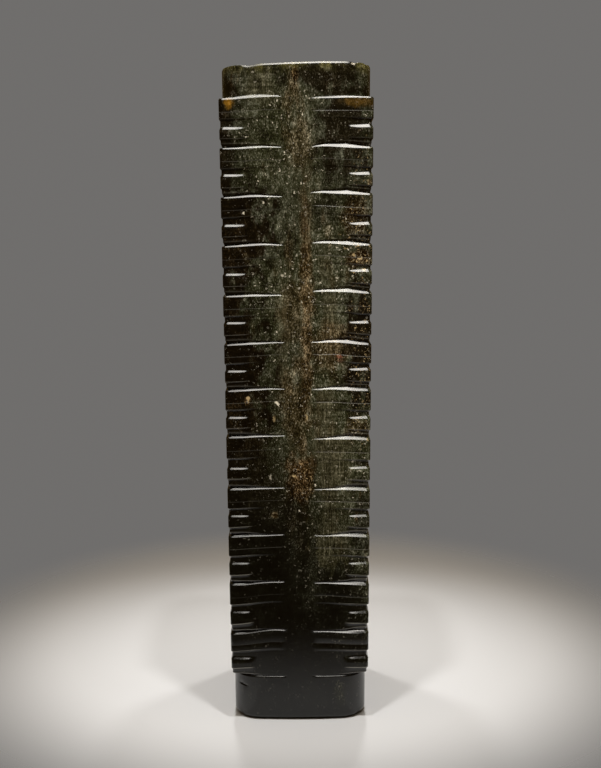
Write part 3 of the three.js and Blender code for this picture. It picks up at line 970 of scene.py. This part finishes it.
def nephrite(name, figure, fibres, rough, bump, rings):
    """A finish of the stone.

    It has the shared figure, a roughness that follows the grain, a fine unevenness and, if asked for,
    drill rings.
    """
    material, tree = new_material(name)
    # Painted shade in the recesses and painted reflections along the edges, read from the mesh.
    recess_shade_depth = add_node(tree, "ShaderNodeAttribute", attribute_name="recess_shade_depth").outputs["Fac"]
    edge_sheen = add_node(tree, "ShaderNodeAttribute", attribute_name="edge_sheen").outputs["Fac"]
    laid = add_node(tree, "ShaderNodeGroup", node_tree=figure)
    laid.inputs["Fibres"].default_value = fibres
    tree.links.new(recess_shade_depth, laid.inputs["Recess Shade"])
    tree.links.new(edge_sheen, laid.inputs["Edge Sheen"])
    height = laid.outputs["Pits"]
    if rings:
        place = add_node(tree, "ShaderNodeTexCoord").outputs["Object"]
        ring = add_node(tree, "ShaderNodeTexWave", {"Vector": place, **RING_WAVES}, bands_direction="Z")
        height = plus(tree, height, times(tree, ring.outputs["Fac"], rings))
    inputs = {"Value": laid.outputs["Gloss"], "To Min": rough[0], "To Max": rough[1]}
    roughness = add_node(tree, "ShaderNodeMapRange", inputs).outputs[0]
    inputs = {"Height": height, "Strength": bump, "Distance": BUMP_HEIGHT}
    normal = add_node(tree, "ShaderNodeBump", inputs).outputs[0]
    inputs = {"Base Color": laid.outputs["Color"], "Roughness": roughness, "Normal": normal}
    shader = add_node(tree, "ShaderNodeBsdfPrincipled", {**inputs, "IOR": NEPHRITE_IOR})
    output = add_node(tree, "ShaderNodeOutputMaterial")
    tree.links.new(shader.outputs[0], output.inputs["Surface"])
    return material


def build_stone():
    """The cong itself, polished outside and left as drilled in the bore."""
    z, radius, recess_shade_depth, edge_sheen = stone_grid()
    mesh = grid_mesh("cong_stone", z, radius)
    # The depth of the painted shade and the share of the painted edge reflections, kept on the mesh for the
    # figure.
    mesh.attributes.new("recess_shade_depth", "FLOAT", "POINT").data.foreach_set("value", recess_shade_depth.ravel())
    mesh.attributes.new("edge_sheen", "FLOAT", "POINT").data.foreach_set("value", edge_sheen.ravel())
    figure = nephrite_figure()
    mesh.materials.append(nephrite("polished nephrite", figure, *POLISHED))
    mesh.materials.append(nephrite("drilled nephrite", figure, *DRILLED))
    in_bore = (radius < BORE_TOP_RADIUS + BORE_BEVEL / 2).ravel()
    mesh.polygons.foreach_set("material_index", in_bore.astype(np.int32))
    stone = add_object("cong_stone", mesh)
    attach(stone, "root")
    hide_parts("cong")
    return stone


def build_floor():
    """A plain pale floor, which fades into the surround well away from the stone."""
    mesh = bpy.data.meshes.new("floor")
    reach = FLOOR_FADE[1]
    corners = [(-reach, -reach, 0), (reach, -reach, 0), (reach, reach, 0), (-reach, reach, 0)]
    mesh.from_pydata([FLOOR_MIDDLE + Vector(corner) for corner in corners], [], [(0, 1, 2, 3)])
    floor = add_object("floor", mesh)
    material, tree = new_material("pale floor")
    place = add_node(tree, "ShaderNodeTexCoord").outputs["Object"]
    away = vector_calc(tree, "DISTANCE", {0: place, 1: FLOOR_MIDDLE}, "Value")
    shown = span(tree, away, FLOOR_FADE[1], FLOOR_FADE[0])
    inputs = {"Base Color": FLOOR_COLOR, "Roughness": FLOOR_ROUGHNESS, "Alpha": shown}
    shader = add_node(tree, "ShaderNodeBsdfPrincipled", inputs)
    output = add_node(tree, "ShaderNodeOutputMaterial")
    tree.links.new(shader.outputs[0], output.inputs["Surface"])
    mesh.materials.append(material)
    return floor


def add_lamp(name, data, place, aim):
    """A lamp at a place, turned towards a point and hidden from the camera."""
    lamp = add_object(name, data)
    lamp.location = place
    lamp.rotation_euler = (Vector(aim) - Vector(place)).to_track_quat("-Z", "Y").to_euler()
    lamp.visible_camera = False
    return lamp


def add_softbox(name, place, aim, width, power, spread):
    """A soft square studio light with a limited spread."""
    data = bpy.data.lights.new(name, "AREA")
    data.shape = "RECTANGLE"
    data.size = width
    data.size_y = width
    data.energy = power
    data.color = LAMP_COLOR
    data.spread = math.radians(spread)
    return add_lamp(name, data, place, aim)


def add_spots(name, place, aim, power, cone, radius):
    """A pair of soft-edged spot lights, one on the left and one on the right."""
    lamps = []
    for side, word in ((-1, "left "), (1, "right ")):
        data = bpy.data.lights.new(word + name, "SPOT")
        data.energy = power
        data.spot_size = math.radians(cone)
        data.spot_blend = 1.0
        data.shadow_soft_size = radius
        mirror = Vector((side, 1, 1))
        lamps.append(add_lamp(word + name, data, Vector(place) * mirror, Vector(aim) * mirror))
    return lamps


def only_for(piece, lamps):
    """Lets some lamps light one piece alone."""
    for lamp in lamps:
        taken = bpy.data.collections.new(lamp.name + " takes")
        taken.objects.link(piece)
        lamp.light_linking.receiver_collection = taken


def build_surround():
    """A dim even surround, which the camera sees as a plain mid grey."""
    world = bpy.data.worlds.new("surround")
    world.use_nodes = True
    tree = world.node_tree
    seen = add_node(tree, "ShaderNodeLightPath").outputs["Is Camera Ray"]
    color = tint(tree, seen, SURROUND_LIGHT, BACKDROP)
    tree.links.new(color, tree.nodes["Background"].inputs["Color"])
    bpy.context.scene.world = world
    bpy.context.scene.view_settings.view_transform = "Standard"


def build_lights(stone, floor):
    """The lamps of the stone and those of the floor.

    The stone has softboxes overhead in front and behind and a pair of spots behind. The floor has an even
    light and two pairs of spots nearly overhead.
    """
    boxes = [add_softbox("front overhead", *FRONT_BOX), add_softbox("back overhead", *BACK_BOX)]
    only_for(stone, boxes)
    only_for(floor, [add_softbox("floor overhead", *FLOOR_BOX)])
    only_for(stone, add_spots("back", *BACK_SPOT))
    for name, settings in FLOOR_SPOTS.items():
        only_for(floor, add_spots(name, *settings))


def build_camera():
    """The camera at the picture's viewing angle."""
    data = bpy.data.cameras.new("camera")
    data.sensor_width = SENSOR
    data.lens = FOCAL_LENGTH / PICTURE_HEIGHT * SENSOR
    data.clip_start = CAMERA_NEAR
    camera = add_object("camera", data)
    tilt = Matrix.Rotation(QUARTER - CAMERA_PITCH, 3, "X") @ Matrix.Rotation(CAMERA_ROLL, 3, "Z")
    camera.location = CAMERA_PLACE
    camera.rotation_euler = tilt.to_euler()
    bpy.context.scene.camera = camera


build_camera()
stone = build_stone()
floor = build_floor()
build_surround()
build_lights(stone, floor)
